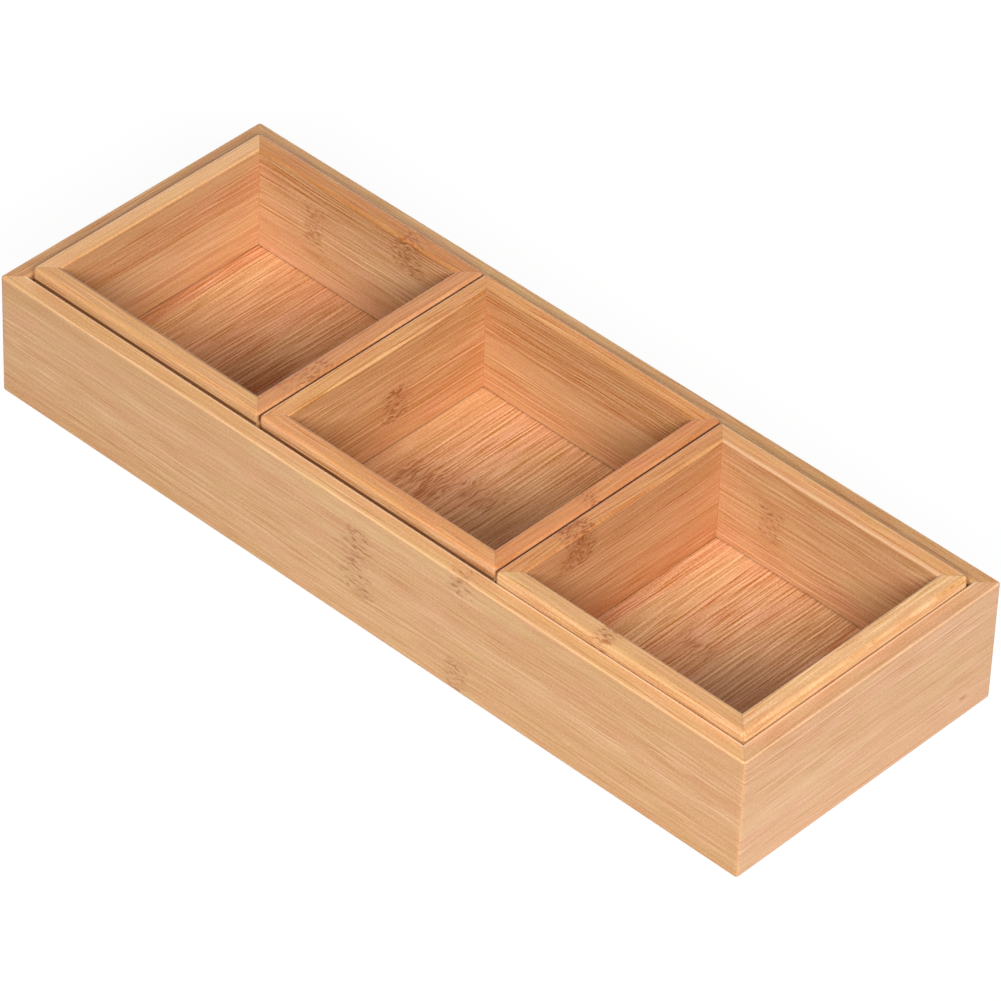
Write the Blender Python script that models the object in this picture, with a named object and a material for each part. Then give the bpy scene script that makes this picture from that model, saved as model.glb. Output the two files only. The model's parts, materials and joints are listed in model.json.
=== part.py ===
"""Compartment tray: a long bamboo tray that holds three loose square bamboo boxes in a row.

Metres, +Z up. +X runs along the tray to its right end and -Y is its front. The origin lies
under the middle of the tray, on the surface that it stands on.

The tray and each box are built alike. Four boards are moulded and grooved, mitred at both ends
and glued round a floor panel, which sits in the groove a little above the lower edge. A box is
taller than the tray's well is deep, so its rim stands proud and gives the fingers a hold.
"""

import math
from dataclasses import dataclass

import bmesh
import bpy
from mathutils import Vector

# Tray
TRAY_LENGTH = 0.3104
TRAY_WIDTH = 0.1128
TRAY_HEIGHT = 0.0455
TRAY_WALL = 0.0060
TRAY_CORNER_ROUND = 0.0012
TRAY_RIM_ROUND = 0.0008
TRAY_INNER_ROUND = 0.0006
TRAY_FOOT_ROUND = 0.0011
TRAY_FOOT = 0.0015
TRAY_FLOOR = 0.0034

# Boxes
BOX_COUNT = 3
BOX_PROUD = 0.0035
BOX_WALL = 0.0065
BOX_CORNER_ROUND = 0.0015
BOX_RIM_ROUND = 0.0013
BOX_INNER_ROUND = 0.0008
BOX_FOOT_ROUND = 0.0008
BOX_FOOT = 0.0015
BOX_FLOOR = 0.0034

# Fits
BOX_GAP = 0.0004
BOX_ROW_PLAY = 0.0012
BOX_SIDE_GAP = 0.0010
REST_GAP = 0.0003
GLUE_LINE = 0.0001
GROOVE_DEPTH = 0.0030
GROOVE_GAP = 0.0003
FLOOR_EASE = 0.0003

# How much of the row's play lies open at its left end, and how far each box has slid towards the
# front board, as a share of the side gap
ROW_LEFT_SHARE = 0.8
BOX_FORWARD_SHARES = (0.0, 0.0, 0.75)
BOX_NAMES = ("box_left", "box_middle", "box_right")

# Modelling
ARRIS_STEPS = 6
CORNER_STEPS = 8
CUT_OVERRUN = 0.001
MERGE_DISTANCE = 0.0000001
SMOOTH_ANGLE = math.radians(35)

# Bamboo, as linear colour
BOARD_COLOUR = (0.60, 0.37, 0.18, 1.0)
FLOOR_COLOUR = (0.50, 0.27, 0.12, 1.0)
BAMBOO_ROUGHNESS = 0.55


@dataclass
class Tub:
    """The sizes of one open frame with a floor: the tray, or a box."""

    name: str
    length: float
    width: float
    height: float
    wall: float
    corner_round: float
    rim_round: float
    inner_round: float
    foot_round: float
    foot: float
    floor: float

    def floor_top(self):
        """Height of the floor panel's upper face over the lower edge."""
        return self.foot + GROOVE_GAP + self.floor


def clear_scene():
    for old in list(bpy.data.objects):
        bpy.data.objects.remove(old, do_unlink=True)


def new_collection(name):
    collection = bpy.data.collections.new(name)
    bpy.context.scene.collection.children.link(collection)
    return collection


def bamboo(name, colour):
    material = bpy.data.materials.new(name)
    material.use_nodes = True
    shader = material.node_tree.nodes["Principled BSDF"]
    shader.inputs["Base Color"].default_value = colour
    shader.inputs["Roughness"].default_value = BAMBOO_ROUGHNESS
    shader.inputs["Metallic"].default_value = 0.0
    return material


def new_object(name, bm, collection, parent, colour):
    """Turns a bmesh into a named object with its own material, under its parent empty."""
    mesh = bpy.data.meshes.new(name)
    bm.to_mesh(mesh)
    bm.free()
    mesh.shade_smooth()
    mesh.set_sharp_from_angle(angle=SMOOTH_ANGLE)
    mesh.materials.append(bamboo(name + "_bamboo", colour))
    piece = bpy.data.objects.new(name, mesh)
    collection.objects.link(piece)
    piece.parent = parent
    return piece


def block(low, high):
    """A bmesh box between two corners."""
    bm = bmesh.new()
    bmesh.ops.create_cube(bm, size=1)
    low, high = Vector(low), Vector(high)
    bmesh.ops.scale(bm, vec=high - low, verts=bm.verts)
    bmesh.ops.translate(bm, vec=(low + high) / 2, verts=bm.verts)
    return bm


def round_edges(bm, radius, steps, chosen):
    """Rounds the edges whose two ends both satisfy the test."""
    edges = [edge for edge in bm.edges if all(chosen(vert.co) for vert in edge.verts)]
    bmesh.ops.bevel(
        bm, geom=edges, offset=radius, offset_type="OFFSET", segments=steps, profile=0.5,
        affect="EDGES", clamp_overlap=False,
    )


def near(value, target):
    return abs(value - target) < MERGE_DISTANCE


def cut_away(bm, point, normal):
    """Saws off what lies beyond a plane and closes the cut."""
    bmesh.ops.bisect_plane(
        bm, geom=bm.verts[:] + bm.edges[:] + bm.faces[:], dist=MERGE_DISTANCE,
        plane_co=point, plane_no=normal, clear_outer=True,
    )
    open_edges = [edge for edge in bm.edges if edge.is_boundary]
    bmesh.ops.holes_fill(bm, edges=open_edges, sides=0)


def moulded_board(tub, length):
    """A straight board: outer face on y = 0, inner face on y = wall, lower edge on z = 0."""
    bm = block((-length / 2, 0, 0), (length / 2, tub.wall, tub.height))
    round_edges(
        bm, tub.inner_round, ARRIS_STEPS,
        lambda co: near(co.y, tub.wall) and near(co.z, tub.height),
    )
    for end in (-length / 2, length / 2):
        round_edges(
            bm, tub.corner_round, CORNER_STEPS,
            lambda co: near(co.x, end) and near(co.y, 0),
        )
    inner_line = tub.wall - tub.inner_round
    round_edges(
        bm, tub.rim_round, ARRIS_STEPS,
        lambda co: near(co.z, tub.height) and co.y < inner_line - MERGE_DISTANCE,
    )
    round_edges(
        bm, tub.foot_round, ARRIS_STEPS,
        lambda co: near(co.z, 0) and co.y < tub.wall - MERGE_DISTANCE,
    )
    return bm


def plough_groove(board, tub, length, cutters):
    """Cuts the floor's groove along the inner face of a board."""
    cutter_mesh = bpy.data.meshes.new(board.name + "_groove")
    cutter_bm = block(
        (-length / 2 - CUT_OVERRUN, tub.wall - GROOVE_DEPTH, tub.foot),
        (length / 2 + CUT_OVERRUN, tub.wall + CUT_OVERRUN, tub.floor_top() + GROOVE_GAP),
    )
    cutter_bm.to_mesh(cutter_mesh)
    cutter_bm.free()
    cutter = bpy.data.objects.new(board.name + "_groove", cutter_mesh)
    cutters.objects.link(cutter)
    cutter.parent = board
    cutter.hide_render = True
    cutter.display_type = "WIRE"
    groove = board.modifiers.new("groove", "BOOLEAN")
    groove.operation = "DIFFERENCE"
    groove.solver = "EXACT"
    groove.object = cutter
    return cutter


def mitred_board(name, tub, length, parts, cutters, parent):
    """One of a tub's four boards, with a mitre at each end."""
    bm = moulded_board(tub, length)
    for side in (-1, 1):
        outward = Vector((side, 1, 0)).normalized()
        corner = Vector((side * length / 2, 0, 0))
        cut_away(bm, corner - outward * GLUE_LINE / 2, outward)
    board = new_object(name, bm, parts, parent, BOARD_COLOUR)
    plough_groove(board, tub, length, cutters)
    return board


def floor_panel(name, tub, parts, parent):
    """The floor, let into the grooves on all four sides."""
    reach = GROOVE_DEPTH - GROOVE_GAP - tub.wall
    half = Vector((tub.length / 2 + reach, tub.width / 2 + reach))
    low = (-half.x, -half.y, tub.foot + GROOVE_GAP)
    high = (half.x, half.y, tub.floor_top())
    bm = block(low, high)
    round_edges(bm, FLOOR_EASE, 1, lambda co: True)
    return new_object(name, bm, parts, parent, FLOOR_COLOUR)


def build_tub(tub, place, parts, cutters, parent=None):
    """Sets four boards round a floor, all under one empty at the tub's middle."""
    centre = bpy.data.objects.new(tub.name, None)
    parts.objects.link(centre)
    centre.location = place
    centre.parent = parent
    sides = (
        ("front", tub.length, (0, -tub.width / 2, 0), 0),
        ("right", tub.width, (tub.length / 2, 0, 0), 90),
        ("back", tub.length, (0, tub.width / 2, 0), 180),
        ("left", tub.width, (-tub.length / 2, 0, 0), 270),
    )
    for side, length, spot, turn in sides:
        board = mitred_board(f"{tub.name}_wall_{side}", tub, length, parts, cutters, centre)
        board.location = spot
        board.rotation_euler = (0, 0, math.radians(turn))
    floor_panel(tub.name + "_floor", tub, parts, centre)
    return centre


def tray_sizes():
    return Tub(
        "tray", TRAY_LENGTH, TRAY_WIDTH, TRAY_HEIGHT, TRAY_WALL, TRAY_CORNER_ROUND,
        TRAY_RIM_ROUND, TRAY_INNER_ROUND, TRAY_FOOT_ROUND, TRAY_FOOT, TRAY_FLOOR,
    )


def box_sizes(name, tray, seat):
    """A box fills its share of the tray's well, less the gaps round it."""
    row_length = tray.length - 2 * tray.wall - BOX_ROW_PLAY
    well_width = tray.width - 2 * tray.wall
    return Tub(
        name,
        (row_length - (BOX_COUNT - 1) * BOX_GAP) / BOX_COUNT,
        well_width - 2 * BOX_SIDE_GAP,
        tray.height + BOX_PROUD - seat,
        BOX_WALL, BOX_CORNER_ROUND, BOX_RIM_ROUND, BOX_INNER_ROUND, BOX_FOOT_ROUND, BOX_FOOT,
        BOX_FLOOR,
    )


def main():
    clear_scene()
    parts = new_collection("compartment_tray")
    cutters = new_collection("cutters")
    tray = tray_sizes()
    build_tub(tray, (0, 0, 0), parts, cutters)
    seat = tray.floor_top() + REST_GAP
    row_start = tray.wall - tray.length / 2 + ROW_LEFT_SHARE * BOX_ROW_PLAY
    for index, name in enumerate(BOX_NAMES):
        box = box_sizes(name, tray, seat)
        x = row_start + box.length / 2 + index * (box.length + BOX_GAP)
        y = -BOX_FORWARD_SHARES[index] * BOX_SIDE_GAP
        build_tub(box, (x, y, seat), parts, cutters)


main()
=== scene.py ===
"""Compartment tray: bamboo grain, glue lines, studio floor, light and camera round the solids.

Metres, +Z up, in the frame of the solids. Sizes in the materials are in millimetres, in the same
frame: u runs along a piece's fibres, v across its strips and w through its thickness. Colours are
sRGB of 0 to 255, apart from WHITE and FLOOR_COLOUR, which are linear. Tints multiply linear colour.
"""

import json
import math

import bmesh
import bpy
from mathutils import Matrix, Vector

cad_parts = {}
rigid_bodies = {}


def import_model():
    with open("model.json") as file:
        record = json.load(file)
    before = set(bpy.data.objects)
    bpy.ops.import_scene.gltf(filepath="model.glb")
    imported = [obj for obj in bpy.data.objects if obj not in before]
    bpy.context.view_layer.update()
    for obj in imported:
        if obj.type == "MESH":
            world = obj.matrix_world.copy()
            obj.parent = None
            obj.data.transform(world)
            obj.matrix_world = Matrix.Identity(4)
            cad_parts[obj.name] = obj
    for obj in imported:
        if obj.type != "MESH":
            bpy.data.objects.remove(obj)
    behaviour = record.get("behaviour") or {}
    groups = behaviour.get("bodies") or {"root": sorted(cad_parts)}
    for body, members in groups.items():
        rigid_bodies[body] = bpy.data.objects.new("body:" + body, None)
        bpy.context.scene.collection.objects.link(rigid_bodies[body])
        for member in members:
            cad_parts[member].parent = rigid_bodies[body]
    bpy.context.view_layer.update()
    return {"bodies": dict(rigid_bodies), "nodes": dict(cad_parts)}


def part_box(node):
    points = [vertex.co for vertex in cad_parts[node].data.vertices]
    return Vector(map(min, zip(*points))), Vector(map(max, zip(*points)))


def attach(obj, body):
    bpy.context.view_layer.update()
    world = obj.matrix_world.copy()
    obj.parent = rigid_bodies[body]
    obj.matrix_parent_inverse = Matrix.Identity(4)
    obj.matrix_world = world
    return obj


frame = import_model()

MM = 0.001
WHITE = (1, 1, 1, 1)

# Camera, solved from the tray's edges in the photograph
IMAGE_SIDE = 1001
CAMERA_AZIMUTH = 42.273
CAMERA_ELEVATION = 40.477
CAMERA_ROLL = 2.264
CAMERA_DISTANCE = 2.0966
CAMERA_RIGHT = 0.00475
CAMERA_UP = 0.01199
CAMERA_CLIP = (0.05, 50)
FOCAL_PIXELS = 6853.3
SENSOR_WIDTH = 36.0

# Lamps: azimuth and elevation in degrees, width, height and power
LAMP_DISTANCE = 2.0
KEY_LAMP = (46, 34, 1.93, 0.37, 53.0)
FILL_LAMP = (226, 12, 1.6, 0.6, 15.0)
WORLD_LIGHT = 0.17

# Studio floor. The camera sees most of it as an even glow, which leaves the object's shadow soft
FLOOR_SIZE = 6
FLOOR_COLOUR = (0.8, 0.8, 0.8, 1)
FLOOR_ROUGHNESS = 0.9
FLOOR_GLOW = 1.08
FLOOR_GLOW_SHARE = 0.85

# Ragged patches, for knots, marks, painted shade and painted light: waves of their edge per mm along
# u and v, and its depth
PATCH_WAVES = (0.08, 1.1)
PATCH_RAG = 2.4
PATCH_FADE = (1.1, 0.1)
PATCH_EDGE = 0.5

# Slow waves of the fibres: waves per mm along and across them, and how far they push the fibres
DRIFT_WAVES = (0.012, 0.06)
DRIFT = 4.0
WAVER_WAVES = (0.09, 0.35)
WAVER = 0.5
BEND_WAVES = (0.2, 0.3)
BEND = 1.8

# Fibre lines: width, and a shift that sets their noise apart from the others
NARROW_LINES = (0.6, 0.0)
WIDE_LINES = (0.95, 31.0)

# Lengths of fibre, pores and broad shades: length, width and shift
NARROW_LENGTHS = (11, 1.1, 43.0)
WIDE_LENGTHS = (18, 1.7, 71.0)
THREADS = (14, 0.7, 7.0)
PORES = (0.9, 0.55, 19.0)
BROAD = (110.0, 6.0, 0.0)
CLOUDS = (16.0, 4.5, 40.0)
CALM = (40.0, 4.0, 60.0)

# Strokes of a knot: width, shift, roughness of the noise, and where dark and bright ones set in
STROKE_WIDTH = 0.625
STROKE_SHIFT = 60.0
STROKE_ROUGH = 0.6
DARK_STROKES = (0.02, 0.13)
BRIGHT_STROKES = (-0.06, -0.16)

# How strongly each of them shows. A pair is gain and level
NARROW_RANGE = (3.6, 0.8)
WIDE_RANGE = (3.2, 0.85)
NARROW_GAIN = 1.55
WIDE_GAIN = 1.15
CALM_GAIN = 2.5
LIMIT = 2.6
THREADS_RANGE = (0.3, 0.2)
PORES_RANGE = (0.2, 0.22)
BROAD_GAIN = 0.3
CLOUD_GAIN = 1.3
KNOT_SHADE = 0.15
DARK_SHARE = 0.7
BRIGHT_SHARE = 0.6

# Light and dark change red least and blue most, so that a dark fibre is a browner one
CHANNEL_SHARES = (0.55, 1.0, 1.6)
YELLOW_TINT = (0.985, 1.04, 0.94)
PINK_TINT = (1.02, 0.945, 1.01)
DARK_TINT = (0.58, 0.38, 0.27)
BRIGHT_TINT = (1.12, 1.16, 1.22)

# Surface: roughness, and the share of the grain in it and in the relief
SPECULAR = 0.35
ROUGHNESS = 0.5
ROUGH_LINES = 0.2
ROUGH_PORES = 0.15
RELIEF_PORES = 0.5
RELIEF_STROKES = 0.4
BUMP_STRENGTH = 0.6
BUMP_DISTANCE = 0.00003

# Edges. A pair called facing says from and up to which lean of the surface a shade sets in
RIM_FACING = (0.25, 0.75)
RIM_LINE_LOSS = 0.3
# Painted shade in a narrow gap: a brown line on the outer face where it all but touches the tray or
# the next box
GAP_SHADE_FACING = (0.72, 0.90)
GAP_SHADE_SOFT_FOOT = 0.25
GAP_SHADE_SOFT_TOP = 0.3
GAP_SHADE_COLOUR = (94, 45, 9)
FLOOR_LET_IN = 2.7
JOINT_REACH = (0.45, 0.1)
JOINT_COLOUR = (110, 62, 34)
# Outer arris: painted paler, partly as rubbing of the edge and partly as a painted highlight
ARRIS_FACING = (0.25, 0.5)
ARRIS_WEAR_AND_HIGHLIGHT_COLOUR = (250, 222, 190)
# The rim's inner edge: a painted highlight on some pieces, painted shade on others
INNER_FACING = (0.1, 0.4)
INNER_SOFT = 0.2
INNER_PAINTED_HIGHLIGHT = (255, 232, 202)
INNER_PAINTED_SHADE = (96, 50, 24)
# Painted shade on vertical rounded corners, which the lamp lights between two faces
CORNER_FACING = (0.15, 0.5)
CORNER_SHADE_SHARE = 0.5
CORNER_SHADE_TINT = (0.80, 0.76, 0.72)

# Glue in the mitre slits: dark and pale colour, scale of its spots, width of a slit, the air left
# on either side of a film as a share of it, and how squarely a face looks into the slit
TRAY_GLUE = ((196, 144, 100), (226, 176, 132))
BOX_GLUE = ((150, 98, 62), (186, 134, 92))
GLUE_SPOTS = 400.0
GLUE_ROUGHNESS = (0.2, 0.4)
GLUE_SLIT = 0.1 * MM
FILM_CLEAR = 0.02
CUT_FACING = 0.999
DIAGONALS = {"front": (1, 1, 0), "right": (-1, 1, 0), "back": (-1, -1, 0), "left": (1, -1, 0)}

# What a piece's entries mean, here and in SPECS:
# base, rim: colour of the faces, and of the rim where it has one of its own
# strips: start, tone, pinkness and contrast of each strip across the fibres, in order
# end: where the last strip ends
# knots, marks_and_painted_light: centre and half length along u, low and high v, and strength of
# each
# contrast, streak: factor on the strips' contrast, and length of a knot's strokes
# axes: axes of the frame that u, v and w follow
# outer, wall: axis and sign of a board's outer face, and its thickness
# wear_and_highlight: how far the outer arris is painted paler, partly as rubbing and partly as a
# painted highlight
# inner, reach: strength and breadth of the rim's inner line, a painted highlight above 0 and painted
# shade below
# gap_shade: foot, top and strength of the painted shade, a brown line on the outer face in a narrow
# gap
# joint: strength of the dark line round a floor
SHARED = dict(contrast=1.0, streak=2.6, knots=(), marks_and_painted_light=())
SIDES = {
    "front": dict(outer=("y", -1), axes="xzy"),
    "right": dict(outer=("x", 1), axes="yzx"),
    "back": dict(outer=("y", 1), axes="xzy"),
    "left": dict(outer=("x", -1), axes="yzx"),
}
BOARDS = {
    "tray": dict(wall=6.0, end=45.5, wear_and_highlight=0.1, inner=0.0, reach=0.95),
    "box": dict(wall=6.5, end=50, wear_and_highlight=0.06, inner=0.0, reach=0.95, contrast=1.3),
}
FLOORS = {
    "tray": dict(axes="xyz"),
    "box": dict(axes="yxz", joint=0.3, contrast=1.7, streak=7.0),
}

# The order of the pieces sets each one's place in the noise
SPECS = {
    "tray_wall_front": dict(
        base=(199, 153, 110), rim=(233, 177, 125), inner=0.5, wear_and_highlight=0.12,
        strips=[
            (0, 0.98, 0.35, 0.35), (12.3, 1.05, 0.35, 0.32), (19.8, 1.0, 0.5, 0.32),
            (38, 0.98, 0.3, 0.3),
        ],
        knots=[(0, 8, 12.5, 38, 1.0), (41.5, 5.5, 38.5, 47, 1.3), (42, 5.5, 1, 12, 1.3)],
        marks_and_painted_light=[(-149, 5, 21, 25, 0.12), (150, 7, 20, 23.5, 0.10), (-90, 60, 10, 11, -0.10)],
    ),
    "tray_wall_right": dict(
        base=(206, 161, 122), rim=(225, 174, 130), inner=0.4, wear_and_highlight=0.25,
        strips=[
            (0, 1.03, 0.5, 0.22), (9, 1.07, 0.5, 0.24), (15, 0.98, 0.4, 0.24),
            (34, 0.95, 0.6, 0.3),
        ],
        marks_and_painted_light=[(43, 2.5, 7.4, 8.6, -0.45)],
    ),
    "tray_wall_back": dict(
        base=(209, 156, 105),
        strips=[(0, 1.0, 0.3, 0.5), (30, 1.0, 0.3, 0.6)],
    ),
    "tray_wall_left": dict(
        base=(207, 149, 96),
        strips=[(0, 1.0, 0.3, 0.5), (25, 1.0, 0.4, 0.6)],
    ),
    "tray_floor": dict(
        base=(205, 152, 106), end=56,
        strips=[
            (-56, 1.0, 0.3, 0.5), (-34, 0.97, 0.5, 0.5), (-12, 1.02, 0.4, 0.5),
            (9, 1.0, 0.3, 0.5), (31, 0.98, 0.4, 0.5),
        ],
    ),
    "box_left_wall_front": dict(
        base=(205, 155, 110), rim=(221, 159, 102), inner=-0.6, reach=1.0,
        gap_shade=(44.3, 45.5, 0.8),
        strips=[(5, 1.0, 0.4, 0.5), (30, 1.0, 0.3, 0.5)],
    ),
    "box_left_wall_right": dict(
        base=(200, 145, 100), rim=(215, 146, 91), inner=-0.2, reach=1.0,
        gap_shade=(46.0, 48.4, 0.85),
        strips=[(5, 1.0, 0.4, 0.5), (30, 1.0, 0.6, 0.5)],
        knots=[(-26, 14, 36, 51, 1.2)],
    ),
    "box_left_wall_back": dict(
        base=(209, 162, 120), rim=(214, 145, 84),
        strips=[
            (5, 1.02, 0.5, 0.35), (23.5, 1.07, 0.3, 0.45), (28.3, 1.02, 0.3, 0.45),
            (36, 0.98, 0.35, 0.6), (38.3, 0.88, 0.45, 0.6),
        ],
        knots=[(-76, 8, 36.5, 51, 1.8), (-117.5, 5, 24, 39, 1.1)],
    ),
    "box_left_wall_left": dict(
        base=(207, 156, 112), rim=(238, 181, 125),
        strips=[
            (5, 1.0, 0.4, 0.3), (16.8, 0.93, 0.7, 0.3), (19.2, 1.10, 0.3, 0.3),
            (23.5, 1.05, 0.4, 0.3), (32.0, 0.84, 0.7, 0.5), (41.0, 0.91, 0.6, 0.5),
            (43.0, 1.0, 0.4, 0.3),
        ],
    ),
    "box_left_floor": dict(
        base=(223, 167, 120), end=-53,
        strips=[
            (-145, 0.92, 0.8, 0.6), (-137, 1.12, 0.1, 0.6), (-131, 1.0, 0.4, 0.6),
            (-124, 1.05, 0.5, 0.6), (-118.5, 0.98, 0.8, 0.7), (-110.5, 0.92, 0.8, 0.8),
            (-104, 1.08, 0.5, 0.9), (-87, 0.96, 0.6, 1.0), (-70, 0.99, 0.4, 0.8),
        ],
        # Painted shade: these darken the floor towards its front right, where the walls' shadow
        # falls
        marks_and_painted_light=[(-15, 26, -105, -50, -0.15), (-13, 24, -95.5, -50, -0.42)],
    ),
    "box_middle_wall_front": dict(
        base=(205, 155, 110), rim=(224, 156, 97), inner=-0.3, reach=1.0,
        gap_shade=(44.3, 45.5, 0.8),
        strips=[(5, 1.0, 0.5, 0.5), (30, 1.0, 0.5, 0.6)],
    ),
    "box_middle_wall_right": dict(
        base=(205, 148, 102), rim=(215, 140, 83), inner=-0.2, reach=1.0,
        gap_shade=(46.0, 48.4, 0.85),
        strips=[(5, 1.0, 0.5, 0.5), (36, 1.0, 0.6, 0.5)],
        knots=[(-6, 5, 42, 51, 1.2)],
    ),
    "box_middle_wall_back": dict(
        base=(204, 152, 106), rim=(233, 164, 100), inner=-0.35,
        strips=[
            (5, 1.06, 0.5, 0.4), (20, 1.08, 0.35, 0.4), (25.5, 1.01, 0.4, 0.4),
            (32.7, 0.86, 0.6, 0.6), (38, 0.90, 0.5, 0.7), (43, 0.84, 0.5, 0.6),
        ],
    ),
    "box_middle_wall_left": dict(
        base=(201, 145, 99), rim=(228, 159, 100), inner=-0.12,
        strips=[(5, 0.98, 0.5, 0.5), (20, 0.98, 0.4, 0.5), (33, 1.0, 0.3, 0.6)],
        knots=[(3.5, 7, 20, 33, 2.0)],
    ),
    "box_middle_floor": dict(
        base=(225, 171, 125), end=46,
        strips=[
            (-46, 1.0, 0.25, 0.5), (-33, 1.07, 0.5, 0.7), (-21.5, 0.96, 0.7, 0.7),
            (-12, 1.02, 0.5, 0.7), (-5.5, 1.10, 0.3, 0.8), (14, 0.99, 0.4, 0.8),
            (20, 0.95, 0.4, 0.8),
        ],
        knots=[(-2, 9, -33, -15, 1.8), (5, 8, -15, 1, 1.5)],
    ),
    "box_right_wall_front": dict(
        base=(215, 168, 122), rim=(221, 164, 111), inner=-0.2, reach=1.0,
        gap_shade=(44.3, 45.5, 0.3),
        strips=[(5, 1.0, 0.4, 0.5), (30, 1.0, 0.3, 0.5)],
        knots=[(92, 5, 42, 51, 1.3)],
    ),
    "box_right_wall_right": dict(
        base=(222, 172, 125), rim=(236, 180, 129), inner=-0.2, reach=1.0,
        gap_shade=(44.3, 45.5, 0.3),
        strips=[(5, 1.0, 0.3, 0.5), (30, 1.0, 0.2, 0.6)],
    ),
    "box_right_wall_back": dict(
        base=(202, 153, 110), rim=(226, 161, 104), inner=0.25,
        strips=[
            (5, 0.98, 0.6, 0.5), (19, 1.07, 0.3, 0.4), (24.5, 1.02, 0.3, 0.4),
            (33, 0.96, 0.4, 0.4),
        ],
        knots=[(77.5, 5.5, 22, 34.5, 1.1)],
    ),
    "box_right_wall_left": dict(
        base=(196, 140, 96), rim=(213, 142, 85),
        strips=[(5, 0.88, 0.7, 0.6), (17, 1.01, 0.5, 0.4), (37, 1.0, 0.4, 0.6)],
        knots=[(-20, 8, 37.5, 51, 3.0)],
    ),
    "box_right_floor": dict(
        base=(223, 170, 126), end=146,
        strips=[
            (53, 0.91, 0.7, 0.8), (62.5, 1.09, 0.2, 0.5), (73.5, 0.92, 0.6, 0.6),
            (84, 1.03, 0.5, 0.7), (89, 0.95, 0.6, 0.7), (95, 1.02, 0.4, 0.7),
            (103, 1.12, 0.3, 0.9), (113, 0.96, 0.5, 0.9), (117, 0.92, 0.5, 0.8),
            (128, 1.03, 0.3, 0.8), (133, 0.96, 0.5, 0.8),
        ],
        knots=[(1, 5, 79, 94, 1.0)],
        # Painted light: this lightens the floor towards its front right, in the walls' shadow
        marks_and_painted_light=[(-20, 34, 94, 150, 0.22)],
    ),
}

# Step in u, v and w from one piece's grain to the next one's
SEED_STEPS = (311.0, 57.0, 23.0)


def linear(colour):
    """An sRGB colour of 0 to 255 as linear RGBA."""
    parts = [part / 255 for part in colour]
    return [p / 12.92 if p <= 0.04045 else ((p + 0.055) / 1.055) ** 2.4 for p in parts] + [1.0]


class Graph:
    """Short calls for building a node tree."""

    def __init__(self, tree):
        self.tree = tree

    def node(self, kind, **settings):
        made = self.tree.nodes.new("ShaderNode" + kind)
        for name, value in settings.items():
            setattr(made, name, value)
        return made

    def feed(self, socket, value):
        if isinstance(value, bpy.types.NodeSocket):
            self.tree.links.new(value, socket)
        else:
            socket.default_value = value

    def math(self, operation, *values, clamp=False):
        made = self.node("Math", operation=operation, use_clamp=clamp)
        for socket, value in zip(made.inputs, values):
            self.feed(socket, value)
        return made.outputs[0]

    def add(self, a, b):
        return self.math("ADD", a, b)

    def sub(self, a, b):
        return self.math("SUBTRACT", a, b)

    def mul(self, a, b):
        return self.math("MULTIPLY", a, b)

    def div(self, a, b):
        return self.math("DIVIDE", a, b)

    def along(self, value, scale, shift):
        """value * scale + shift"""
        return self.math("MULTIPLY_ADD", value, scale, shift)

    def step(self, value, low, high):
        """Rises smoothly from 0 at low to 1 at high, which may lie below low."""
        made = self.node("MapRange", interpolation_type="SMOOTHSTEP")
        for socket, number in zip(made.inputs, (value, low, high, 0.0, 1.0)):
            self.feed(socket, number)
        return made.outputs[0]

    def vector(self, x, y, z):
        made = self.node("CombineXYZ")
        for socket, value in zip(made.inputs, (x, y, z)):
            self.feed(socket, value)
        return made.outputs[0]

    def split(self, vector):
        made = self.node("SeparateXYZ")
        self.feed(made.inputs[0], vector)
        return made.outputs

    def noise(self, place, detail=0.0, rough=0.5):
        """Noise in space, from 0 to 1."""
        made = self.node("TexNoise", noise_dimensions="3D")
        self.feed(made.inputs["Vector"], place)
        self.feed(made.inputs["Scale"], 1.0)
        self.feed(made.inputs["Detail"], detail)
        self.feed(made.inputs["Roughness"], rough)
        return made.outputs[0]

    def ripple(self, value):
        """Noise along one line, with no slow waves in it, spread round zero."""
        made = self.node("TexNoise", noise_dimensions="1D")
        self.feed(made.inputs["W"], value)
        self.feed(made.inputs["Scale"], 1.0)
        self.feed(made.inputs["Detail"], 0.0)
        return self.sub(made.outputs[0], 0.5)

    def weave(self, x, y):
        """Noise over a plane, spread round zero."""
        made = self.node("TexNoise", noise_dimensions="2D")
        self.feed(made.inputs["Vector"], self.vector(x, y, 0.0))
        self.feed(made.inputs["Scale"], 1.0)
        self.feed(made.inputs["Detail"], 0.0)
        return self.sub(made.outputs[0], 0.5)

    def mix(self, factor, a, b, blend="MIX"):
        """Sockets 6, 7 and 2 are the colours of a Mix node."""
        made = self.node("Mix", data_type="RGBA", blend_type=blend)
        self.feed(made.inputs[0], factor)
        self.feed(made.inputs[6], a)
        self.feed(made.inputs[7], b)
        return made.outputs[2]

    def tint(self, colour, shares):
        """The colour times three numbers, or times another colour."""
        return self.mix(1.0, colour, shares, "MULTIPLY")

    def group(self, tree, *values):
        made = self.node("Group")
        made.node_tree = tree
        for socket, value in zip(made.inputs, values):
            self.feed(socket, value)
        return made.outputs


def new_group(name, inputs, outputs):
    group = bpy.data.node_groups.new(name, "ShaderNodeTree")
    kinds = {"f": "NodeSocketFloat", "c": "NodeSocketColor", "v": "NodeSocketVector"}
    for label, kind in inputs:
        group.interface.new_socket(label, in_out="INPUT", socket_type=kinds[kind])
    for label, kind in outputs:
        group.interface.new_socket(label, in_out="OUTPUT", socket_type=kinds[kind])
    source = group.nodes.new("NodeGroupInput")
    sink = group.nodes.new("NodeGroupOutput")
    return Graph(group), source.outputs, sink.inputs


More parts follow.
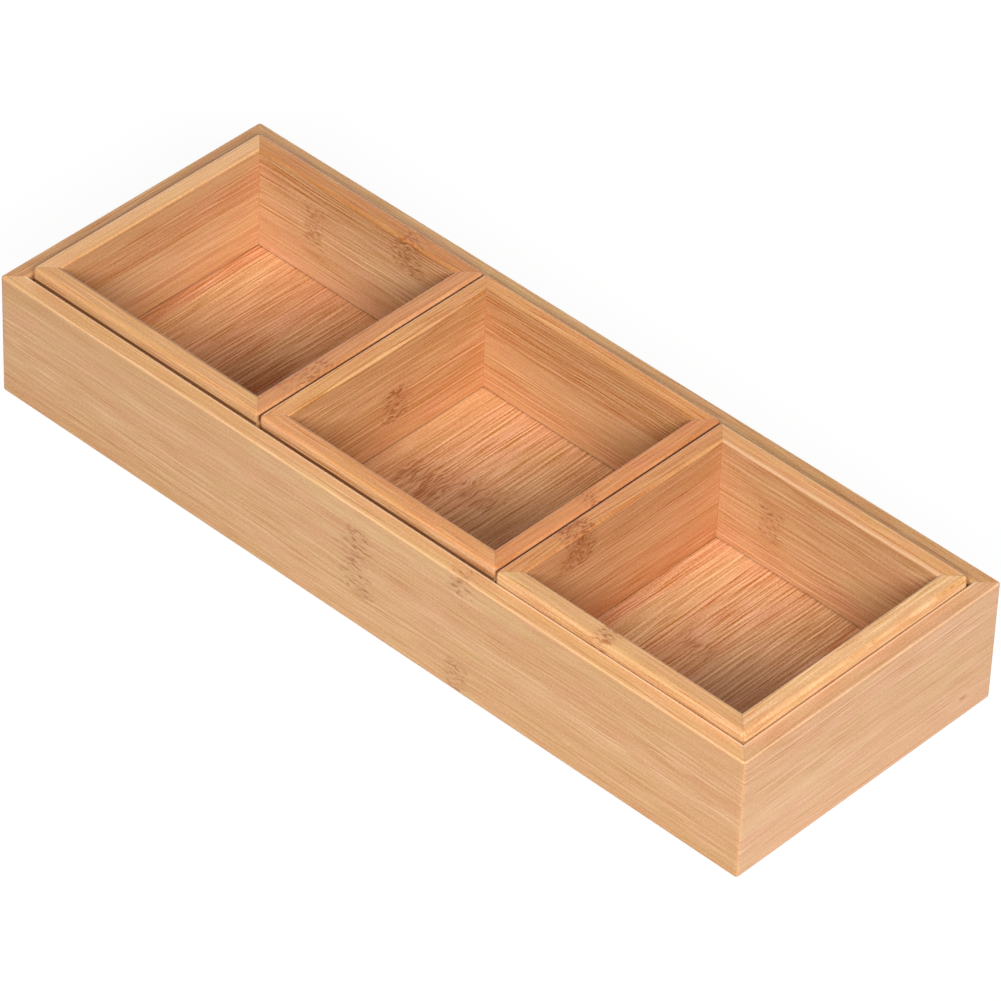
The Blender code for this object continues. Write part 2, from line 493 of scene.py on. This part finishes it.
def patch_group():
    """1 inside a ragged patch that lies along u and is bounded by two lines across v."""
    inputs = (("U", "f"), ("V", "f"), ("Centre", "f"), ("Half", "f"), ("Low", "f"), ("High", "f"))
    g, given, result = new_group("patch", inputs, (("Mask", "f"),))
    u, v, centre, half, low, high = (given[label] for label, kind in inputs)
    along, across = PATCH_WAVES
    ragged = g.noise(g.vector(g.mul(u, along), g.mul(v, across), centre), detail=2.0)
    reach = g.div(g.math("ABSOLUTE", g.sub(u, centre)), half)
    reach = g.add(reach, g.along(ragged, -PATCH_RAG, PATCH_RAG / 2))
    above = g.step(g.sub(v, low), -PATCH_EDGE, PATCH_EDGE)
    below = g.step(g.sub(high, v), -PATCH_EDGE, PATCH_EDGE)
    g.feed(result["Mask"], g.mul(g.step(reach, *PATCH_FADE), g.mul(above, below)))
    return g.tree


def grain_group():
    """The colour, roughness and height of bamboo at a grain coordinate."""
    inputs = (
        ("Grain", "v"), ("Base", "c"), ("Tone", "f"), ("Pink", "f"), ("Line", "f"), ("Knot", "f"),
        ("Streak", "f"),
    )
    outputs = (("Color", "c"), ("Roughness", "f"), ("Height", "f"))
    g, given, result = new_group("bamboo_grain", inputs, outputs)
    grain, base, tone, pinkness, line, knot, streak = (given[label] for label, kind in inputs)
    u, v, w = g.split(grain)

    def waves(along, across, detail=0.0):
        return g.noise(g.vector(g.mul(u, along), g.mul(v, across), g.mul(w, across)), detail)

    # The fibres drift a little, and more so at a node
    drift = waves(*DRIFT_WAVES, detail=1.0)
    waver = waves(*WAVER_WAVES)
    bend = waves(*BEND_WAVES)
    v = g.along(drift, DRIFT, g.along(waver, WAVER, v))
    v = g.add(v, g.mul(knot, g.along(bend, BEND, -BEND / 2)))
    layer = g.add(v, w)

    def ripple(width, shift):
        return g.ripple(g.along(layer, 1 / width, shift))

    def weave(length, width, shift):
        return g.weave(g.mul(u, 1 / length), g.along(layer, 1 / width, shift))

    def fibres(length, width, shift, detail=0.0):
        """Noise in space that is stretched along the fibres, spread round zero."""
        across = 1 / width
        place = g.vector(g.mul(u, 1 / length), g.along(v, across, shift), g.mul(w, across))
        return g.sub(g.noise(place, detail), 0.5)

    # Lines come and go along their length
    narrow = g.mul(ripple(*NARROW_LINES), g.along(weave(*NARROW_LENGTHS), *NARROW_RANGE))
    wide = g.mul(ripple(*WIDE_LINES), g.along(weave(*WIDE_LENGTHS), *WIDE_RANGE))
    threads = weave(*THREADS)
    pores = weave(*PORES)
    broad = fibres(*BROAD)
    clouds = fibres(*CLOUDS, detail=1.0)
    calm = fibres(*CALM)

    pinkness = g.math("ADD", pinkness, g.mul(clouds, CLOUD_GAIN), clamp=True)
    colour = g.mix(pinkness, g.tint(base, (*YELLOW_TINT, 1.0)), g.tint(base, (*PINK_TINT, 1.0)))

    light = g.add(g.mul(narrow, NARROW_GAIN), g.mul(wide, WIDE_GAIN))
    light = g.mul(g.mul(line, light), g.along(calm, CALM_GAIN, 1.0))
    light = g.div(g.math("TANH", g.mul(light, LIMIT)), LIMIT)
    light = g.add(light, g.mul(threads, g.along(line, *THREADS_RANGE)))
    light = g.add(light, g.mul(pores, g.along(line, *PORES_RANGE)))
    light = g.along(broad, BROAD_GAIN, light)
    light = g.add(light, g.sub(tone, 1.0))
    gain = g.node("CombineColor")
    for socket, share in zip(gain.inputs, CHANNEL_SHARES):
        g.feed(socket, g.along(light, share, 1.0))
    colour = g.tint(colour, gain.outputs[0])

    # A knot has short dark and bright strokes
    across = 1 / STROKE_WIDTH
    place = g.vector(g.div(u, streak), g.along(v, across, STROKE_SHIFT), g.mul(w, across))
    strokes = g.sub(g.noise(place, detail=1.0, rough=STROKE_ROUGH), 0.5)
    dark = g.math("MULTIPLY", knot, g.step(strokes, *DARK_STROKES), clamp=True)
    bright = g.math("MULTIPLY", knot, g.step(strokes, *BRIGHT_STROKES), clamp=True)
    shade = g.math("ADD", g.mul(knot, KNOT_SHADE), g.mul(dark, DARK_SHARE), clamp=True)
    colour = g.mix(shade, colour, g.tint(base, (*DARK_TINT, 1.0)))
    colour = g.mix(g.mul(bright, BRIGHT_SHARE), colour, g.tint(base, (*BRIGHT_TINT, 1.0)))

    rough = g.along(narrow, ROUGH_LINES, g.along(pores, ROUGH_PORES, ROUGHNESS))
    height = g.along(pores, RELIEF_PORES, g.mul(line, g.add(narrow, wide)))
    height = g.sub(height, g.mul(dark, RELIEF_STROKES))
    g.feed(result["Color"], colour)
    g.feed(result["Roughness"], rough)
    g.feed(result["Height"], height)
    return g.tree


PATCH = patch_group()
GRAIN = grain_group()


def new_material(name):
    """An empty material, as a graph, with its shader."""
    material = bpy.data.materials.new(name)
    material.use_nodes = True
    return material, Graph(material.node_tree), material.node_tree.nodes["Principled BSDF"]


def strip_values(g, v, strips, end):
    """Tone, pinkness and contrast of the strip that lies at v. The ramp holds half the tone."""
    start = strips[0][0]
    length = end - start
    ramp = g.node("ValToRGB")
    ramp.color_ramp.interpolation = "CONSTANT"
    stops = ramp.color_ramp.elements
    while len(stops) < len(strips):
        stops.new(1.0)
    for stop, (foot, tone, pinkness, line) in zip(stops, strips):
        stop.position = (foot - start) / length
        stop.color = (tone / 2, pinkness, line, 1.0)
    g.feed(ramp.inputs[0], g.div(g.sub(v, start), length))
    strip = g.node("SeparateColor")
    g.feed(strip.inputs[0], ramp.outputs[0])
    tone, pinkness, line = strip.outputs
    return g.mul(tone, 2.0), pinkness, line


def with_painted_gap_shade(g, colour, v, outward, gap_shade):
    """Painted shade: where two pieces all but touch, the outer face gets a brown line for the shade
    down in the gap.
    """
    foot, top, strength = gap_shade
    above = g.step(v, foot - GAP_SHADE_SOFT_FOOT, foot + GAP_SHADE_SOFT_FOOT)
    below = g.step(v, top, top - GAP_SHADE_SOFT_TOP)
    gap_shade_mask = g.mul(g.step(outward, *GAP_SHADE_FACING), g.mul(above, below))
    return g.mix(g.mul(gap_shade_mask, strength), colour, linear(GAP_SHADE_COLOUR))


def with_joint(g, colour, name, axes, strength):
    """A floor's joint with its walls shows as a thin dark line."""
    low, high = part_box(name)
    off_x = g.math("ABSOLUTE", g.sub(axes["x"], (low[0] + high[0]) / 2 / MM))
    off_y = g.math("ABSOLUTE", g.sub(axes["y"], (low[1] + high[1]) / 2 / MM))
    half = (high[0] - low[0]) / 2 / MM - FLOOR_LET_IN
    start, full = JOINT_REACH
    edge = g.step(g.math("MAXIMUM", off_x, off_y), half - start, half - full)
    return g.mix(g.mul(edge, strength), colour, linear(JOINT_COLOUR))


def with_edge_wear_and_painted_light(g, colour, name, spec, w, facing, outward):
    """A paler outer arris, partly rubbed and partly a painted highlight; a painted line at the rim's
    inner edge; painted shade on vertical corners.
    """
    # The outer arris is painted paler: partly rubbing, partly a painted highlight
    wear_and_highlight = g.mul(g.step(g.mul(facing[2], outward), *ARRIS_FACING), spec["wear_and_highlight"])
    colour = g.mix(wear_and_highlight, colour, linear(ARRIS_WEAR_AND_HIGHLIGHT_COLOUR))

    letter, sign = spec["outer"]
    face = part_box(name)[(1 + sign) // 2]["xyz".index(letter)] / MM
    depth = g.along(w, -sign, face * sign)
    # A line at the rim's inner edge: painted highlight where inner is above 0, painted shade where
    # it is below
    start = spec["wall"] - spec["reach"]
    inner = g.step(depth, start - INNER_SOFT, start + INNER_SOFT)
    inner = g.mul(inner, g.step(facing[2], *INNER_FACING))
    shade = INNER_PAINTED_HIGHLIGHT if spec["inner"] > 0 else INNER_PAINTED_SHADE
    colour = g.mix(g.mul(inner, abs(spec["inner"])), colour, linear(shade))

    # Vertical corners are painted darker: a painted shade
    upright_shade = g.step(g.math("ABSOLUTE", g.mul(facing[0], facing[1])), *CORNER_FACING)
    return g.mix(g.mul(upright_shade, CORNER_SHADE_SHARE), colour, g.tint(colour, (*CORNER_SHADE_TINT, 1.0)))


def bamboo(name, spec, seed):
    """The material of one board or panel: its own strips, knots and patches of tone, of which those
    on two floors are painted shade and painted light.
    """
    material, g, shader = new_material("bamboo_" + name)
    shader.inputs["Specular IOR Level"].default_value = SPECULAR
    place = g.node("TexCoord")
    scaled = g.node("VectorMath", operation="SCALE")
    g.feed(scaled.inputs[0], place.outputs["Object"])
    scaled.inputs["Scale"].default_value = 1 / MM
    axes = dict(zip("xyz", g.split(scaled.outputs[0])))
    facing = g.split(place.outputs["Normal"])
    u, v, w = (axes[letter] for letter in spec["axes"])

    tone, pinkness, line = strip_values(g, v, spec["strips"], spec["end"])
    knot = 0.0
    for *where, strength in spec["knots"]:
        knot = g.math("MAXIMUM", knot, g.mul(g.group(PATCH, u, v, *where)[0], strength))
    # Patches that change the tone: marks, and on two floors painted shade and painted light
    for *where, change in spec["marks_and_painted_light"]:
        tone = g.add(tone, g.mul(g.group(PATCH, u, v, *where)[0], change))

    if "rim" in spec:
        rim = g.step(facing[2], *RIM_FACING)
        line = g.mul(line, g.along(rim, -RIM_LINE_LOSS, 1.0))
    line = g.mul(line, spec["contrast"])

    grain = g.vector(*(g.add(axis, step * seed) for axis, step in zip((u, v, w), SEED_STEPS)))
    base = linear(spec["base"])
    colour, rough, height = g.group(GRAIN, grain, base, tone, pinkness, line, knot, spec["streak"])

    if "rim" in spec:
        ratio = [a / b for a, b in zip(linear(spec["rim"]), base)]
        colour = g.mix(rim, colour, g.tint(colour, ratio))
    if "joint" in spec:
        colour = with_joint(g, colour, name, axes, spec["joint"])
    if "outer" in spec:
        letter, sign = spec["outer"]
        outward = g.mul(facing["xyz".index(letter)], sign)
        # Painted shade on the outer face, down in the narrow gap beside the tray or the next box
        if "gap_shade" in spec:
            colour = with_painted_gap_shade(g, colour, v, outward, spec["gap_shade"])
        colour = with_edge_wear_and_painted_light(g, colour, name, spec, w, facing, outward)

    bump = g.node("Bump")
    bump.inputs["Strength"].default_value = BUMP_STRENGTH
    bump.inputs["Distance"].default_value = BUMP_DISTANCE
    g.feed(bump.inputs["Height"], height)
    g.feed(shader.inputs["Base Color"], colour)
    g.feed(shader.inputs["Roughness"], rough)
    g.feed(shader.inputs["Normal"], bump.outputs[0])
    return material


def full_spec(name):
    """A piece's own values, over those that its kind shares."""
    words = name.split("_")
    kind, side = words[0], words[-1]
    shared = FLOORS[kind] if side == "floor" else {**BOARDS[kind], **SIDES[side]}
    return {**SHARED, **shared, **SPECS[name]}


for seed, name in enumerate(SPECS, 1):
    slots = frame["nodes"][name].data.materials
    slots.clear()
    slots.append(bamboo(name, full_spec(name), seed))


def glue_material(name, dark, pale):
    material, g, shader = new_material(name)
    place = g.node("TexCoord")
    spots = g.node("TexNoise")
    g.feed(spots.inputs["Vector"], place.outputs["Object"])
    spots.inputs["Scale"].default_value = GLUE_SPOTS
    g.feed(shader.inputs["Base Color"], g.mix(spots.outputs[0], linear(dark), linear(pale)))
    g.feed(shader.inputs["Roughness"], g.along(spots.outputs[0], *GLUE_ROUGHNESS))
    return material


def glue_film(board, direction):
    """A film over one of a board's two mitred ends, that fills the slit towards its neighbour."""
    bm = bmesh.new()
    bm.from_mesh(board.data)
    bm.faces.ensure_lookup_table()
    others = [face for face in bm.faces if face.normal.dot(direction) < CUT_FACING]
    bmesh.ops.delete(bm, geom=others, context="FACES")
    bmesh.ops.translate(bm, vec=direction * GLUE_SLIT * FILM_CLEAR, verts=bm.verts)
    grown = bmesh.ops.extrude_face_region(bm, geom=bm.faces[:])
    moved = [item for item in grown["geom"] if isinstance(item, bmesh.types.BMVert)]
    bmesh.ops.translate(bm, vec=direction * GLUE_SLIT * (1 - 2 * FILM_CLEAR), verts=moved)
    bmesh.ops.recalc_face_normals(bm, faces=bm.faces)
    mesh = bpy.data.meshes.new(board.name + "_glue")
    bm.to_mesh(mesh)
    bm.free()
    return mesh


def glue_films():
    """One film a corner. Each hangs on the end of the board that comes before the corner."""
    tray_glue = glue_material("tray_glue", *TRAY_GLUE)
    box_glue = glue_material("box_glue", *BOX_GLUE)
    for body in frame["bodies"]:
        for side, diagonal in DIAGONALS.items():
            board = frame["nodes"][f"{body}_wall_{side}"]
            mesh = glue_film(board, Vector(diagonal).normalized())
            mesh.materials.append(tray_glue if body == "tray" else box_glue)
            film = bpy.data.objects.new(f"{body}_glue_{side}", mesh)
            bpy.context.scene.collection.objects.link(film)
            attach(film, body)


glue_films()


def seen(g):
    """1 for what the camera sees, also through glass and in a gloss, and 0 for light."""
    path = g.node("LightPath")
    direct = g.math("MAXIMUM", path.outputs["Is Camera Ray"], path.outputs["Is Glossy Ray"])
    return g.math("MAXIMUM", direct, path.outputs["Is Transmission Ray"])


def blend(g, factor, first, second, output):
    made = g.node("MixShader")
    for socket, value in zip(made.inputs, (factor, first.outputs[0], second.outputs[0])):
        g.feed(socket, value)
    g.feed(output.inputs[0], made.outputs[0])


def studio_floor():
    """A plain pale floor that keeps the object's shadow."""
    bpy.ops.mesh.primitive_plane_add(size=FLOOR_SIZE, location=(0, 0, 0))
    floor = bpy.context.object
    floor.name = "studio_floor"
    material, g, shader = new_material("studio_floor")
    shader.inputs["Base Color"].default_value = FLOOR_COLOUR
    shader.inputs["Roughness"].default_value = FLOOR_ROUGHNESS
    shader.inputs["Specular IOR Level"].default_value = 0.0
    glow = g.node("Emission")
    glow.inputs["Strength"].default_value = FLOOR_GLOW
    output = material.node_tree.nodes["Material Output"]
    blend(g, g.mul(seen(g), FLOOR_GLOW_SHARE), shader, glow, output)
    floor.data.materials.append(material)


def surroundings():
    """Faint even light, and white where the camera looks past the floor."""
    world = bpy.data.worlds.new("studio")
    bpy.context.scene.world = world
    world.use_nodes = True
    g = Graph(world.node_tree)
    light = world.node_tree.nodes["Background"]
    light.inputs["Color"].default_value = WHITE
    light.inputs["Strength"].default_value = WORLD_LIGHT
    white = g.node("Background")
    white.inputs["Color"].default_value = WHITE
    white.inputs["Strength"].default_value = 1.0
    blend(g, seen(g), light, white, world.node_tree.nodes["World Output"])


def bearing(azimuth, elevation):
    """The direction outwards at two angles in degrees. Azimuth turns from the front to the right."""
    azimuth, elevation = math.radians(azimuth), math.radians(elevation)
    return Vector((
        math.sin(azimuth) * math.cos(elevation),
        -math.cos(azimuth) * math.cos(elevation),
        math.sin(elevation),
    ))


def softbox(name, azimuth, elevation, width, height, power):
    """A rectangular lamp that faces the object."""
    data = bpy.data.lights.new(name, "AREA")
    data.shape = "RECTANGLE"
    data.size = width
    data.size_y = height
    data.energy = power
    lamp = bpy.data.objects.new(name, data)
    lamp.location = LAMP_DISTANCE * bearing(azimuth, elevation)
    lamp.rotation_euler = lamp.location.to_track_quat("Z", "Y").to_euler()
    bpy.context.scene.collection.objects.link(lamp)


def camera():
    back = bearing(CAMERA_AZIMUTH, CAMERA_ELEVATION)
    azimuth = math.radians(CAMERA_AZIMUTH)
    level = Vector((math.cos(azimuth), math.sin(azimuth), 0))
    right = Matrix.Rotation(math.radians(CAMERA_ROLL), 3, back) @ level
    up = back.cross(right)
    data = bpy.data.cameras.new("camera")
    data.sensor_width = SENSOR_WIDTH
    data.lens = SENSOR_WIDTH * FOCAL_PIXELS / IMAGE_SIDE
    data.clip_start, data.clip_end = CAMERA_CLIP
    eye = bpy.data.objects.new("camera", data)
    pose = Matrix((right, up, back)).transposed().to_4x4()
    pose.translation = back * CAMERA_DISTANCE + right * CAMERA_RIGHT + up * CAMERA_UP
    eye.matrix_world = pose
    bpy.context.scene.collection.objects.link(eye)
    bpy.context.scene.camera = eye
    bpy.context.scene.view_settings.view_transform = "Standard"


studio_floor()
surroundings()
softbox("key", *KEY_LAMP)
softbox("fill", *FILL_LAMP)
camera()
